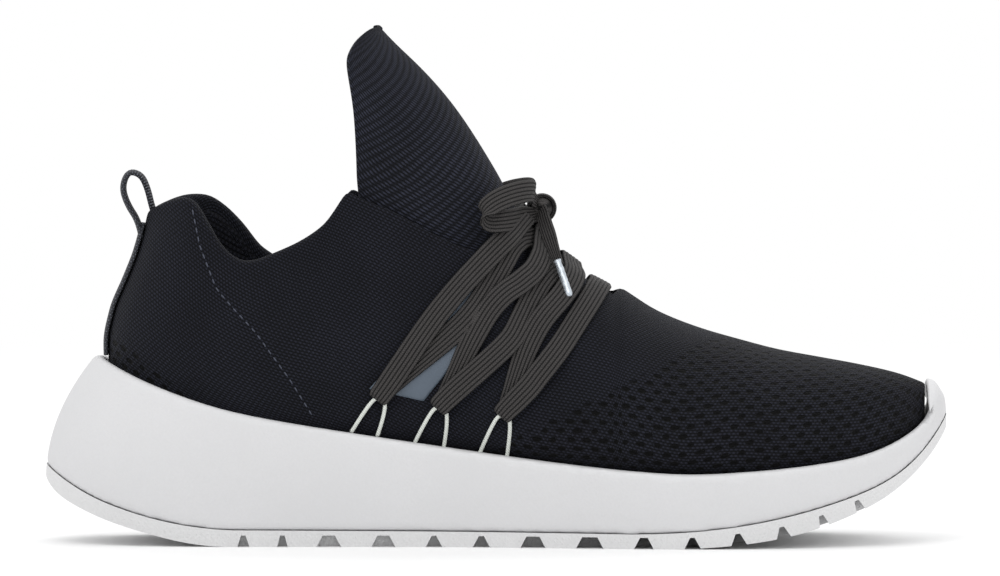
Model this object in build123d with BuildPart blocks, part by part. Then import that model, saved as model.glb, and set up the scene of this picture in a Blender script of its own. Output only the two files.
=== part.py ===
from build123d import *
import math
import os

os.makedirs("parts", exist_ok=True)

# A right running shoe. X runs from heel to toe, -Y is the outer (lateral) side, Z is up
# from the floor. The tables below give a place as its distance from the back of the heel.

LENGTH = 300.0
BACK_OF_HEEL = -LENGTH / 2

# Layers of the upper, as depths under its outer face.
KNIT = 2.0
PAD_OUT, PAD_IN = 2.15, 4.6
LINING_OUT, LINING_IN = 4.75, 5.8
TONGUE_OUT = 3.2
FIT_GAP = 0.15
FILM = 0.3

# Layers under the foot, as heights over the bottom of the upper.
BOARD_TOP = 4.0
FOAM_TOP = 8.6
COVER_TOP = 9.5

LACE_WIDTH, LACE_THICK = 7.6, 1.4
LACE_ON_QUARTER, LACE_ON_TONGUE, LACE_STEP = 1.0, -2.2, 1.75
THROAT_EDGE, TONGUE_EDGE = 46, 24
CORD_RADIUS, CORD_CLEAR = 0.6, 1.0
LUG_DEPTH = 3.8
WEB_WIDTH, WEB_THICK = 14.0, 1.5

# Side outline of the upper: its ridge, its heel line (height, place) and its bottom.
RIDGE = [
    (98, 192), (112, 172.5), (131.5, 153), (145.5, 135.5), (153, 124.5), (158, 115),
    (163, 106.5), (171, 97.5), (180, 91), (191, 84.8), (204, 76.6), (218, 71), (231, 67.2),
    (244, 63.8), (258, 61.2), (271, 58.8), (284, 55.8), (293, 52.5),
]  # fmt: skip
HEEL_LINE = [
    (33, 44), (39, 30), (46, 24), (55, 21), (66, 20.5), (77, 22.5), (88, 27), (97, 30.5),
    (111, 34), (125, 36), (178, 42),
]  # fmt: skip
BED = [
    (40, 34), (95, 31), (150, 26), (195, 20), (228, 18.5), (255, 20.5), (276, 25), (288, 33),
    (293.5, 41),
]  # fmt: skip

# Half widths of the upper seen from above, and how they shrink with height at the ankle.
UPPER_LATERAL = [
    (20, 29), (45, 30.5), (70, 32.5), (100, 32.5), (130, 34), (160, 39), (190, 44.5),
    (215, 46.5), (235, 45), (255, 39.5), (272, 30.5), (285, 19.5), (293.5, 8),
]  # fmt: skip
UPPER_MEDIAL = [
    (20, 28.5), (45, 29.5), (70, 31), (100, 30), (130, 30.5), (160, 34.5), (190, 41),
    (215, 45.5), (235, 47.5), (255, 45.5), (272, 38), (285, 26), (293.5, 14),
]  # fmt: skip
ANKLE_SHAPE = [
    (25, 0.97), (45, 1.0), (62, 0.97), (80, 0.89), (98, 0.85), (112, 0.87), (125, 0.9), (178, 0.9),
]  # fmt: skip
ANKLE_FRONT, MIDFOOT = 110, 200
CROWN = [(98, 75), (152, 72), (170, 60), (200, 47), (230, 36), (260, 28), (285, 18), (293.5, 11)]
CROWN_POWER, THROAT_END = 1.9, 190
HEEL_ROUND, HEEL_POWER = 30, 2.0
BED_ROUND, BED_POWER = 12, 2.6

# Half widths of the sole seen from above at its widest, and what its levels take off.
SOLE_LATERAL = [
    (8, 24), (30, 36), (60, 39), (100, 39), (140, 41), (180, 48), (210, 52.5), (235, 51.5),
    (260, 43.5), (278, 32), (290, 20.5), (297, 9),
]  # fmt: skip
SOLE_MEDIAL = [
    (8, 24), (30, 35), (60, 37), (100, 34), (140, 34), (180, 42), (215, 52), (240, 53),
    (265, 47.5), (283, 36), (293, 24.5), (298.5, 14),
]  # fmt: skip
TOE_TIP_Y = 6
SOLE_LEVELS = [(-2, 4.5, 5), (24, 0, 0), (64, 5, 18)]
HEEL_TAPER, TIP_WIDTH = 60, 24

# Side outlines of the sole: its rim, the line between midsole and outsole, its bottom.
RIM = [
    (21, 60.2), (31, 55.4), (44, 50.3), (58, 45.8), (78, 41.5), (98, 38.2), (131, 33.2),
    (171, 27.8), (198, 25.2), (213, 24.5), (231, 25.2), (258, 27.8), (271, 30.2),
    (284, 35.2), (291, 39.8),
]  # fmt: skip
TOE_BUMPER = [(294.3, 46.5), (292.7, 54), (296, 53.5), (299.3, 48.5), (300, 43.5)]
PARTING_HEEL = [(-1, 27), (7, 21.5), (16.3, 16.3), (25.7, 12.6), (39.7, 8.6), (63, 5.6)]
PARTING_TOE = [(189, 5), (214, 5.8), (239, 9.2), (262, 15), (284, 24.7), (296.7, 37.5), (301, 44)]
BOTTOM_HEEL = [(-1, 23.8), (4.3, 16.8), (11, 12.8), (21, 8.5), (34, 4.5), (48, 1.2), (60, 0)]
BOTTOM_TOE = [(210, 0), (238, 2.5), (251, 5.2), (264, 9.5), (278, 16), (288, 23.5), (301, 40)]
LUGS = [59.7, 73, 85.5, 103.6, 121.5, 137, 152.7, 171, 190, 206.5, 222, 237, 251.6, 264, 276]
LUG_COLUMNS = [(-54, -31, 0), (-29, -11, 7), (-9, 9, 0), (11, 29, 7), (31, 54, 0)]

# Edges of the knit seen from the side: the collar, the throat and the tongue.
COLLAR_BACK = [(34, 111.2), (38, 113.3), (46, 115.4)]
COLLAR_LATERAL = [
    (49, 113.6), (54, 106.5), (60, 98), (67.3, 94.3), (78.8, 97.8), (92.2, 105.4), (100.8, 117.3),
]  # fmt: skip
COLLAR_MEDIAL = [
    (51, 115.2), (57.7, 111.8), (64.3, 105.8), (72, 97), (83, 92), (92, 97), (100.8, 117.3),
]  # fmt: skip
THROAT = [
    (105.9, 114.5), (116.7, 110.1), (126.9, 104.3), (141.3, 97.8), (184.3, 83.2), (188, 83),
    (190.9, 84.3),
]  # fmt: skip
TONGUE_ROOT = [(104.5, 105), (108, 97), (122, 85), (150, 73), (185, 63), (207, 60)]
WALL_ROOT = [(94, 106), (104, 93), (121, 82), (150, 70), (185, 60), (209, 57)]
BASE_TOP = [(149, 119.9), (102.8, 112.5)]
FLAP_BOTTOM = 120.9
FLAP_BACK = [
    (120.9, 102.5), (126.7, 102.6), (145.3, 100.7), (158, 98.6), (163, 98.9), (167.4, 103),
    (171, 107.6),
]  # fmt: skip

# Lace loops along the rim: the two feet of each cord and its top, seen from the side.
CORD_LOOPS = {
    "front": [(144.9, 32.2), (149.4, 42), (152.8, 44.6), (155.6, 42), (153.9, 31)],
    "middle": [(123.3, 35.4), (128, 44.2), (131.6, 47), (134.8, 44), (132.9, 33.8)],
    "rear": [(102.3, 38.6), (108, 47.2), (111.6, 49.8), (114.4, 46.8), (110.9, 37.4)],
}


def along(table, place):
    """The value of a table at a place, on a smooth curve that never overshoots its points."""
    if place <= table[0][0]:
        return table[0][1]
    if place >= table[-1][0]:
        return table[-1][1]
    index = max(k for k in range(len(table) - 1) if table[k][0] <= place)

    def rise(k):
        return (table[k + 1][1] - table[k][1]) / (table[k + 1][0] - table[k][0])

    def slope(k):
        if k == 0:
            return rise(0)
        if k == len(table) - 1:
            return rise(k - 1)
        before = rise(k - 1)
        after = rise(k)
        return 0.0 if before * after <= 0 else 2 * before * after / (before + after)

    start, value = table[index]
    span = table[index + 1][0] - start
    t = (place - start) / span
    return (
        value * (1 + 2 * t) * (1 - t) ** 2
        + table[index + 1][1] * t * t * (3 - 2 * t)
        + slope(index) * span * t * (1 - t) ** 2
        - slope(index + 1) * span * t * t * (1 - t)
    )


def rounded(share, power):
    """How wide a rounded end is, from 0 at its tip to 1 where the full width begins."""
    share = min(max(share, 0.0), 1.0)
    return (1 - (1 - share) ** power) ** (1 / power)


def half_width(place, height, side):
    """Half width of the upper at a point seen from the side; side is -1 lateral, 1 medial."""
    plan = along(UPPER_LATERAL if side < 0 else UPPER_MEDIAL, place)
    ankle = min(max((MIDFOOT - place) / (MIDFOOT - ANKLE_FRONT), 0.0), 1.0)
    ankle = ankle * ankle * (3 - 2 * ankle)
    waist = 1 + ankle * (along(ANKLE_SHAPE, height) - 1)
    power = CROWN_POWER + max(0.0, place - THROAT_END) / 250
    crown = rounded((along(RIDGE, place) - height) / along(CROWN, place), power)
    heel = rounded((place - along(HEEL_LINE, height)) / HEEL_ROUND, HEEL_POWER)
    bed = rounded((height - along(BED, place)) / BED_ROUND, BED_POWER)
    return plan * waist * crown * heel * bed


def at(place, y, height):
    """A point in the shoe's frame, from its distance to the back of the heel."""
    return Vector(BACK_OF_HEEL + place, y, height)


# The upper is lofted through sections that fan out from the ankle to the toe. Each joins
# a point of the heel line or of the bottom with a point of the ridge.
FAN_HEEL = [(134, 146.7), (120, 155.5), (104, 164), (88, 173), (68, 182), (46, 189)]
FAN_BED = [(70, 196), (140, 204), (190, 217), (228, 238), (255, 258), (275, 275), (286, 285.5), (293.5, 293)]
FAN_FLAP = [(176, 109.2), (164, 120.5), (150, 134), (134, 146.7), (116, 157.5)]
POINTS_PER_SIDE = 12


def fan(depth):
    """The two ends of every section, seen from the side; the toe ends sooner in deep layers."""
    for height, ridge_place in FAN_HEEL:
        yield (along(HEEL_LINE, height), height), (ridge_place, along(RIDGE, ridge_place))
    for index, (bed_place, ridge_place) in enumerate(FAN_BED):
        sooner = max(depth, 0) * (0.3, 0.6, 1.0)[index - 5] if index >= 5 else 0
        low = bed_place - sooner
        high = ridge_place - sooner
        yield (low, along(BED, low)), (high, along(RIDGE, high))


def section(low, high, depth):
    """One section's outline in its own plane, each point moved inward by the depth."""
    length = math.dist(low, high)
    ring = []
    for step in range(2 * POINTS_PER_SIDE):
        turn = math.pi * step / POINTS_PER_SIDE
        share = (1 - math.cos(turn)) / 2
        place = low[0] + share * (high[0] - low[0])
        height = low[1] + share * (high[1] - low[1])
        side = -1 if step <= POINTS_PER_SIDE else 1
        width = half_width(place, height, side) if 0 < share < 1 else 0.0
        ring.append((share * length, side * width))
    moved = []
    for index, (along_line, across) in enumerate(ring):
        ahead = ring[(index + 1) % len(ring)]
        behind = ring[index - 1]
        run = (ahead[0] - behind[0], ahead[1] - behind[1])
        size = math.hypot(*run)
        moved.append((along_line - run[1] / size * depth, across + run[0] / size * depth))
    return moved


def flap_fan():
    """The two ends of the tongue flap's sections, seen from the side."""
    for height, ridge_place in FAN_FLAP:
        yield (along(HEEL_LINE, height), height), (ridge_place, along(RIDGE, ridge_place))


def form(depth, ends=None):
    """The closed form of the upper, or of its sections' other ends, every face moved in by a depth."""
    with BuildPart() as closed:
        for low, high in ends or fan(depth):
            run = Vector(high[0] - low[0], 0, high[1] - low[1])
            plane = Plane(origin=at(low[0], 0, low[1]), x_dir=run, z_dir=run.cross(Vector(0, 1, 0)))
            with BuildSketch(plane):
                with BuildLine():
                    Spline(*section(low, high, depth), periodic=True)
                make_face()
        loft()
    return closed.part


def side_region(outline, y_from=-80.0, y_to=80.0):
    """Everything between two Y planes whose side view lies inside an outline. The outline is
    made of corners, and of lists of points that a smooth line goes through."""
    with BuildPart() as region:
        with BuildSketch(Plane.XZ.offset(-y_to)):
            with BuildLine():
                first = pen = None
                for stretch in outline:
                    points = stretch if isinstance(stretch, list) else [stretch]
                    points = [(BACK_OF_HEEL + x, z) for x, z in points]
                    if pen and math.dist(pen, points[0]) > 0.001:
                        Line(pen, points[0])
                    if len(points) > 1:
                        Spline(*points)
                    first = first or points[0]
                    pen = points[-1]
                Line(pen, first)
            make_face()
        extrude(amount=y_to - y_from)
    return region.part


def raised(table, rise):
    """A side line that runs a fixed height over a table."""
    return [(place, height + rise) for place, height in table]


def two_sided(lateral, medial):
    """A region whose outline differs between the lateral and the medial side."""
    return side_region(lateral, -80, 0) + side_region(medial, 0, 80)


# Closed forms of the upper at the depths that part its layers.
skin = form(0.0)
knit_inside = form(KNIT)
pad_outside = form(PAD_OUT)
tongue_outside = form(TONGUE_OUT)
pad_inside = form(PAD_IN)
lining_outside = form(LINING_OUT)
lining_inside = form(LINING_IN)
sole_seat = form(-FIT_GAP)
film_outside = form(-FIT_GAP - FILM)

BELOW = [(320, -5), (-10, -5)]
BEYOND_THROAT = [(191.2, 88), (191.2, 130), (320, 130)]
collars = [COLLAR_BACK + COLLAR_LATERAL, COLLAR_BACK + COLLAR_MEDIAL]
knit_region = two_sided(*[[(-10, 111.2), edge] + THROAT + BEYOND_THROAT + BELOW for edge in collars])

WALL_DROP = 0.8
wall_floor = [(320, BED[-1][1] + COVER_TOP), raised(BED, COVER_TOP + 0.2)[::-1], (-10, BED[0][1] + COVER_TOP)]
wall_region = two_sided(
    *[
        [(-10, 111.2 - WALL_DROP), raised([spot for spot in edge if spot[0] < 93], -WALL_DROP)]
        + WALL_ROOT
        + [(209, 130), (320, 130)]
        + wall_floor
        for edge in collars
    ]
)


def layer(outside, inside, region):
    """The part of the layer between two closed forms that lies in a region."""
    with BuildPart() as between:
        add(outside)
        add(region, mode=Mode.INTERSECT)
        add(inside, mode=Mode.SUBTRACT)
    return between.part


with BuildPart() as upper_knit:
    add(layer(skin, knit_inside, knit_region))
upper_knit.part.label = "upper_knit"
export_step(upper_knit.part, "parts/upper_knit.step")

with BuildPart() as upper_lining:
    add(layer(lining_outside, lining_inside, wall_region))
upper_lining.part.label = "upper_lining"
export_step(upper_lining.part, "parts/upper_lining.step")

# Between knit and lining: a stiff heel counter, collar foam, vamp backing and toe puff.
PAD_ZONES = {
    "heel_counter": [(-10, 80), (40, 80), (58, 66), (70, 48), (70, 0), (-10, 0)],
    "collar_foam": [
        (-10, 80.4), (40.2, 80.4), (58.4, 66.3), (70.4, 48.2), (70.4, 0), (112, 0), (112, 140),
        (-10, 140),
    ],  # fmt: skip
    "vamp_backing": [(112.4, 0), (261.6, 0), (261.6, 140), (112.4, 140)],
    "toe_puff": [(262, 0), (320, 0), (320, 140), (262, 140)],
}
padding = layer(pad_outside, pad_inside, wall_region)
for zone_name, zone in PAD_ZONES.items():
    with BuildPart() as pad:
        add(padding)
        add(side_region(zone), mode=Mode.INTERSECT)
    pad.part.label = zone_name
    export_step(pad.part, f"parts/{zone_name}.step")

# Flat layers under the foot: lasting board, sockliner foam and its cover.
FOOT_LAYERS = {
    "lasting_board": (-30, BOARD_TOP),
    "sockliner_foam": (BOARD_TOP + FIT_GAP, FOAM_TOP),
    "sockliner_cover": (FOAM_TOP + 0.1, COVER_TOP),
}
for layer_name, (low_rise, high_rise) in FOOT_LAYERS.items():
    ends = [(-10, BED[0][1]), (320, BED[-1][1])]
    top = [raised(ends[:1], high_rise)[0], raised(BED, high_rise), raised(ends[1:], high_rise)[0]]
    underside = [raised(ends[1:], low_rise)[0], raised(BED, low_rise)[::-1], raised(ends[:1], low_rise)[0]]
    with BuildPart() as foot_layer:
        add(pad_outside)
        add(side_region(top + underside), mode=Mode.INTERSECT)
    foot_layer.part.label = layer_name
    export_step(foot_layer.part, f"parts/{layer_name}.step")

# Tongue: a base fixed under the quarters and a flap that swings on it, each in two layers.
flap_back = [(place, height) for height, place in FLAP_BACK]
TONGUE_REGIONS = {
    "tongue_base": BASE_TOP[::-1] + [(170, 119.9), (207, 119.9)] + TONGUE_ROOT[::-1],
    "tongue_flap": [flap_back, (130, 171), (170, 171), (170, FLAP_BOTTOM)],
}
BASE_FORMS = {
    TONGUE_OUT: tongue_outside,
    PAD_IN: pad_inside,
    LINING_OUT: lining_outside,
    LINING_IN: lining_inside,
}
TONGUE_LAYERS = {"knit": (TONGUE_OUT, PAD_IN), "lining": (LINING_OUT, LINING_IN)}
for piece_name, outline in TONGUE_REGIONS.items():
    for layer_name, depths in TONGUE_LAYERS.items():
        if piece_name == "tongue_flap":
            outside, inside = [form(depth, flap_fan()) for depth in depths]
        else:
            outside, inside = [BASE_FORMS[depth] for depth in depths]
        with BuildPart() as tongue_piece:
            add(layer(outside, inside, side_region(outline)))
        tongue_piece.part.label = f"{piece_name}_{layer_name}"
        export_step(tongue_piece.part, f"parts/{piece_name}_{layer_name}.step")

# Plain film panels on both quarters.
PANEL = [(108, 52), (140, 88), (158, 88), (126, 48)]
for side_name, near, far in (("lateral", -80, 0), ("medial", 0, 80)):
    with BuildPart() as panel:
        add(layer(film_outside, sole_seat, side_region(PANEL, near, far)))
    panel.part.label = f"side_panel_{side_name}"
    export_step(panel.part, f"parts/side_panel_{side_name}.step")


def sole_outline(take, heel_shift):
    """The sole seen from above at one level, narrower by `take` and shorter at the heel."""
    tip = [(heel_shift, 0.0)]
    rows = [(-1, SOLE_LATERAL), (1, SOLE_MEDIAL)]
    sides = []
    for side, table in rows:
        line = []
        for x, w in table:
            moved = x + heel_shift * max(0.0, 1 - x / HEEL_TAPER)
            line.append((moved, side * (w - take * min(1.0, w / TIP_WIDTH))))
        sides.append(line)
    ring = tip + sides[0] + [(LENGTH, TOE_TIP_Y)] + sides[1][::-1]
    return [(BACK_OF_HEEL + x, y) for x, y in ring]


with BuildPart() as sole_block:
    for level, take, heel_shift in SOLE_LEVELS:
        with BuildSketch(Plane.XY.offset(level)):
            with BuildLine():
                Spline(*sole_outline(take, heel_shift), periodic=True)
            make_face()
    loft()

midsole_outline = [(-5, 62), (17.5, 62), RIM] + TOE_BUMPER + [PARTING_TOE[::-1], PARTING_HEEL[::-1]]
with BuildPart() as midsole:
    add(sole_block.part)
    add(side_region(midsole_outline), mode=Mode.INTERSECT)
    add(sole_seat, mode=Mode.SUBTRACT)
midsole.part.label = "midsole"
export_step(midsole.part, "parts/midsole.step")


def lug_gap(place, wide, narrow, depth):
    """Outline of the gap between two lugs, square to the bottom where it stands."""
    bottom = BOTTOM_HEEL + BOTTOM_TOE
    height = along(bottom, place)
    run = Vector(2, 0, along(bottom, place + 1) - along(bottom, place - 1)).normalized()
    corners = [(-wide, -2.0), (wide, -2.0), (narrow, depth), (-narrow, depth)]
    return [(place + a / 2 * run.X - b * run.Z, height + a / 2 * run.Z + b * run.X) for a, b in corners]


outsole_outline = [raised(PARTING_HEEL, -0.1), raised(PARTING_TOE, -0.1), BOTTOM_TOE[::-1], BOTTOM_HEEL[::-1]]
lug_gaps = []
for near, far, shift in LUG_COLUMNS:
    for before, after in zip(LUGS, LUGS[1:]):
        spacing = after - before
        gap = lug_gap((before + after) / 2 + shift, spacing - 8, max(1.5, spacing - 14), LUG_DEPTH)
        lug_gaps.append(side_region(gap, near, far))
with BuildPart() as outsole:
    add(sole_block.part)
    add(side_region(outsole_outline), mode=Mode.INTERSECT)
    add(lug_gaps, mode=Mode.SUBTRACT)
outsole.part.label = "outsole"
export_step(outsole.part, "parts/outsole.step")

# Webbing up the heel seam, and the pull tab above it.
STRIP_GAP, STRIP_LOW, STRIP_HIGH = 0.5, 62.6, 104.2
strip_heights = [STRIP_LOW + k * (STRIP_HIGH - STRIP_LOW) / 8 for k in range(9)]
strip_front = [(along(HEEL_LINE, z) - STRIP_GAP, z) for z in strip_heights]
strip_back = [(x - WEB_THICK, z) for x, z in strip_front]
with BuildPart() as heel_strip:
    add(side_region(strip_front + strip_back[::-1], -WEB_WIDTH / 2, WEB_WIDTH / 2))
heel_strip.part.label = "heel_strip"
export_step(heel_strip.part, "parts/heel_strip.step")

TAB_PATH = [(31, 105.6), (26, 116.5), (26.6, 121.2), (33, 121), (34, 113)]
with BuildPart() as pull_tab:
    with BuildSketch(Plane.XZ.offset(-WEB_WIDTH / 2)):
        with BuildLine():
            FilletPolyline(*[(BACK_OF_HEEL + x, z) for x, z in TAB_PATH], radius=2)
        trace(line_width=WEB_THICK)
    extrude(amount=WEB_WIDTH)
pull_tab.part.label = "pull_tab"
export_step(pull_tab.part, "parts/pull_tab.step")


def draped(place, angle):
    """A point of the upper's outer face; the angle goes over the ridge, lateral side first."""
    ridge = along(RIDGE, place)
    crown = along(CROWN, place)
    turn = abs(angle)
    drop = 1 - math.cos(turn) if turn < math.pi / 2 else 1 + turn - math.pi / 2
    side = -1 if angle < 0 else 1
    height = ridge - crown * drop
    return at(place, side * half_width(place, height, side), height)


def angle_at(place, height, side):
    """The angle over the ridge of a point given by its side view."""
    drop = (along(RIDGE, place) - height) / along(CROWN, place)
    turn = math.acos(1 - drop) if drop < 1 else drop - 1 + math.pi / 2
    return side * turn


def outward(place, angle):
    """The direction out of the upper's outer face."""
    step = 0.03
    ahead = draped(place + 0.5, angle) - draped(place - 0.5, angle)
    over = draped(place, angle + step) - draped(place, angle - step)
    return ahead.cross(over).normalized()


# Six cord loops stand along the rim, three on each side.
for side_name, side in (("lateral", -1), ("medial", 1)):
    for loop_name, route in CORD_LOOPS.items():
        points = []
        for place, height in route:
            angle = angle_at(place, height, side)
            points.append(draped(place, angle) + outward(place, angle) * (CORD_RADIUS + CORD_CLEAR))
        with BuildPart() as cord_loop:
            with BuildLine() as loop_path:
                FilletPolyline(*points, radius=1.6)
            with BuildSketch(Plane(origin=loop_path.line @ 0, z_dir=loop_path.line % 0)):
                Circle(CORD_RADIUS)
            sweep()
        cord_loop.part.label = f"cord_loop_{side_name}_{loop_name}"
        export_step(cord_loop.part, f"parts/cord_loop_{side_name}_{loop_name}.step")


def strand_stations(start, end, over):
    """Centre points and outward directions of a lace strand from one (place, angle) to another."""
    edge, middle = math.radians(THROAT_EDGE), math.radians(TONGUE_EDGE)
    stations = []
    for step in (0.0, 0.15, 0.3, 0.5, 0.7, 0.85, 1.0):
        place = start[0] + (end[0] - start[0]) * math.sin(step * math.pi / 2)
        angle = start[1] + (end[1] - start[1]) * step
        share = min(max((abs(angle) - middle) / (edge - middle), 0.0), 1.0)
        share = share * share * (3 - 2 * share)
        low = LACE_ON_TONGUE + share * (LACE_ON_QUARTER - LACE_ON_TONGUE)
        lift = LACE_STEP * min(max((step - 0.1) / 0.2, 0.0), 1.0) if over else 0.0
        normal = outward(place, angle)
        stations.append((draped(place, angle) + normal * (low + lift + LACE_THICK / 2), normal))
    return stations


def ribbon(stations, name):
    """A flat lace lofted through its stations and written as its own piece."""
    with BuildPart() as lace:
        for index, (centre, normal) in enumerate(stations):
            ahead = stations[min(index + 1, len(stations) - 1)][0]
            behind = stations[max(index - 1, 0)][0]
            run = (ahead - behind).normalized()
            with BuildSketch(Plane(origin=centre, x_dir=run.cross(normal), z_dir=run)):
                Rectangle(LACE_WIDTH, LACE_THICK)
        loft()
    lace.part.label = name
    export_step(lace.part, f"parts/{name}.step")


# Where a strand starts beside each cord loop, seen from the side, rear and front strand.
LOOP_FEET = {"front": (152.6, 49.5), "middle": (131.6, 51.5), "rear": (111.6, 54)}
BESIDE = LACE_WIDTH / 2 + 0.2


def foot(side, loop_name, which):
    """(place, angle) of the rear (-1) or front (1) strand at a cord loop."""
    place = LOOP_FEET[loop_name][0] + which * BESIDE
    return place, angle_at(place, LOOP_FEET[loop_name][1], side)


# Strands over the throat: lateral foot, place on the ridge, medial foot, and if it lies on top.
STRANDS = {
    "lace_front_bar": (("front", 1), 185.5, ("front", 1), False),
    "lace_cross_1": (("front", -1), 175, ("middle", 1), True),
    "lace_cross_2": (("middle", 1), 175, ("front", -1), False),
    "lace_cross_3": (("middle", -1), 165.5, ("rear", 1), True),
    "lace_cross_4": (("rear", 1), 165.5, ("middle", -1), False),
}
for strand_name, (lateral, ridge_place, medial, over) in STRANDS.items():
    ridge = (ridge_place, 0.0)
    lateral_half = strand_stations(foot(-1, *lateral), ridge, over)
    medial_half = strand_stations(foot(1, *medial), ridge, over)
    ribbon(lateral_half + medial_half[-2::-1], strand_name)

for side_name, side in (("lateral", -1), ("medial", 1)):
    end = (158.5, side * math.radians(16))
    ribbon(strand_stations(foot(side, "rear", -1), end, True), f"lace_rear_{side_name}")


# The knot on the ridge, and the four free ends of the lace that leave it.
KNOT_ACROSS, KNOT_RADIUS = 5.2, 4.0
KNOT_PLACE, KNOT_RISE = 163.0, 4.4
knot_normal = outward(KNOT_PLACE, 0.0)
knot_centre = draped(KNOT_PLACE, 0.0) + knot_normal * KNOT_RISE
with BuildPart() as lace_knot:
    with BuildSketch(Plane(origin=knot_centre, x_dir=(0, 1, 0), z_dir=knot_normal.cross(Vector(0, 1, 0)))):
        Ellipse(KNOT_ACROSS, KNOT_RADIUS)
        with Locations((0, -KNOT_RADIUS)):
            Rectangle(3 * KNOT_ACROSS, 2 * KNOT_RADIUS, mode=Mode.SUBTRACT)
    revolve(axis=Axis(knot_centre, Vector(0, 1, 0)), revolution_arc=360)
lace_knot.part.label = "lace_knot"
export_step(lace_knot.part, "parts/lace_knot.step")

FREE_LACE_RADIUS = 2.0
BOW_BEND, TAIL_BEND = 2.6, 6.0
AGLET_LENGTH, AGLET_RADIUS = 14.0, 1.6


def over_upper(place, height, side, rise):
    """A point at a height over the upper's outer face, given by its side view."""
    angle = angle_at(place, height, side)
    return draped(place, angle) + outward(place, angle) * rise


def free_lace(points, name, radius):
    """A round stand-in for a free stretch of lace, straight runs joined by arcs."""
    with BuildPart() as free:
        with BuildLine() as route:
            FilletPolyline(*points, radius=radius)
        with BuildSketch(Plane(origin=route.line @ 0, z_dir=route.line % 0)):
            Circle(FREE_LACE_RADIUS)
        sweep()
    print(f"{name}: bends of {radius} mm, {sum(edge.length for edge in route.edges()):.1f} mm long")
    free.part.label = name
    export_step(free.part, f"parts/{name}.step")


for side_name, side in (("lateral", -1), ("medial", 1)):
    start = knot_centre + Vector(-3.4, side * 5.6, 2.4)
    back = knot_centre + Vector(-1.6, side * 6.6, -3.2)
    bow = [
        start,
        over_upper(155, 112, side, 11.0),
        over_upper(147, 113, side, 11.5),
        over_upper(144.5, 106, side, 10.5),
        over_upper(152, 103.5, side, 9.6),
        back,
    ]
    free_lace(bow, f"bow_loop_{side_name}", BOW_BEND)
    tail = [
        knot_centre + Vector(2.8, side * 7.2, -3.4),
        over_upper(169.5, 97, side, 7.2),
        over_upper(172, 90.5, side, 6.8),
    ]
    free_lace(tail, f"lace_tail_{side_name}", TAIL_BEND)
    run = (tail[-1] - tail[-2]).normalized()
    with BuildPart() as aglet:
        with BuildSketch(Plane(origin=tail[-1] + run * 0.1, z_dir=run)):
            Circle(AGLET_RADIUS)
        extrude(amount=AGLET_LENGTH)
    aglet.part.label = f"aglet_{side_name}"
    export_step(aglet.part, f"parts/aglet_{side_name}.step")
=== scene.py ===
import math

import bmesh
import bpy
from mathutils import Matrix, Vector


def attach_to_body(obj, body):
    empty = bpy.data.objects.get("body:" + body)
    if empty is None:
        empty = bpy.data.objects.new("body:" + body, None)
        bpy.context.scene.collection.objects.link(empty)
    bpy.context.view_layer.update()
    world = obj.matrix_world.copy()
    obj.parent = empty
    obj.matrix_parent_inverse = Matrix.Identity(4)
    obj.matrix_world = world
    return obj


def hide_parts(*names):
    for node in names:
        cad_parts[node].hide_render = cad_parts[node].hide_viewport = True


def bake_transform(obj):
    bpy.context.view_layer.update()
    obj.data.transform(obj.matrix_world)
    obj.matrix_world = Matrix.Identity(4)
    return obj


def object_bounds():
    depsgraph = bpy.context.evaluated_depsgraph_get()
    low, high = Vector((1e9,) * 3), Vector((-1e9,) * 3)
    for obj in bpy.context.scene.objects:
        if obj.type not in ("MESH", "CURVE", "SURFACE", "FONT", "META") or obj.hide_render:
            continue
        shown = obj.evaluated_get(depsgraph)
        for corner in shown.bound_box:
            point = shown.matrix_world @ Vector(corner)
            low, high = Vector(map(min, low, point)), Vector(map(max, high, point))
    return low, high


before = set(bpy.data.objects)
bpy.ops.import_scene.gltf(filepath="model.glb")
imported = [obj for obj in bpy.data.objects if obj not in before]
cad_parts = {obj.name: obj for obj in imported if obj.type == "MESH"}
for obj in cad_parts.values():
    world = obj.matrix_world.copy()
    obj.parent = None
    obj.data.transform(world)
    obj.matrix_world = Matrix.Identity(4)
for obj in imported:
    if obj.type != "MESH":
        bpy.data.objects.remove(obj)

CAD_BOX = [list(corner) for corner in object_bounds()]

# The shoe's own frame: X from heel to toe, -Y the lateral side, Z up. The outline tables
# are in millimetres and give a place as its distance from the back of the heel.
MM = 0.001
BACK_OF_HEEL = CAD_BOX[0][0]
LATERAL, MEDIAL = -1, 1
SIDES = {"lateral": LATERAL, "medial": MEDIAL}

RIDGE = [
    (98, 192), (112, 172.5), (131.5, 153), (145.5, 135.5), (153, 124.5), (158, 115),
    (163, 106.5), (171, 97.5), (180, 91), (191, 84.8), (204, 76.6), (218, 71), (231, 67.2),
    (244, 63.8), (258, 61.2), (271, 58.8), (284, 55.8), (293, 52.5),
]  # fmt: skip
HEEL_LINE = [
    (33, 44), (39, 30), (46, 24), (55, 21), (66, 20.5), (77, 22.5), (88, 27), (97, 30.5),
    (111, 34), (125, 36), (178, 42),
]  # fmt: skip
BED = [
    (40, 34), (95, 31), (150, 26), (195, 20), (228, 18.5), (255, 20.5), (276, 25), (288, 33),
    (293.5, 41),
]  # fmt: skip
UPPER_LATERAL = [
    (20, 29), (45, 30.5), (70, 32.5), (100, 32.5), (130, 34), (160, 39), (190, 44.5),
    (215, 46.5), (235, 45), (255, 39.5), (272, 30.5), (285, 19.5), (293.5, 8),
]  # fmt: skip
UPPER_MEDIAL = [
    (20, 28.5), (45, 29.5), (70, 31), (100, 30), (130, 30.5), (160, 34.5), (190, 41),
    (215, 45.5), (235, 47.5), (255, 45.5), (272, 38), (285, 26), (293.5, 14),
]  # fmt: skip
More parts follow.
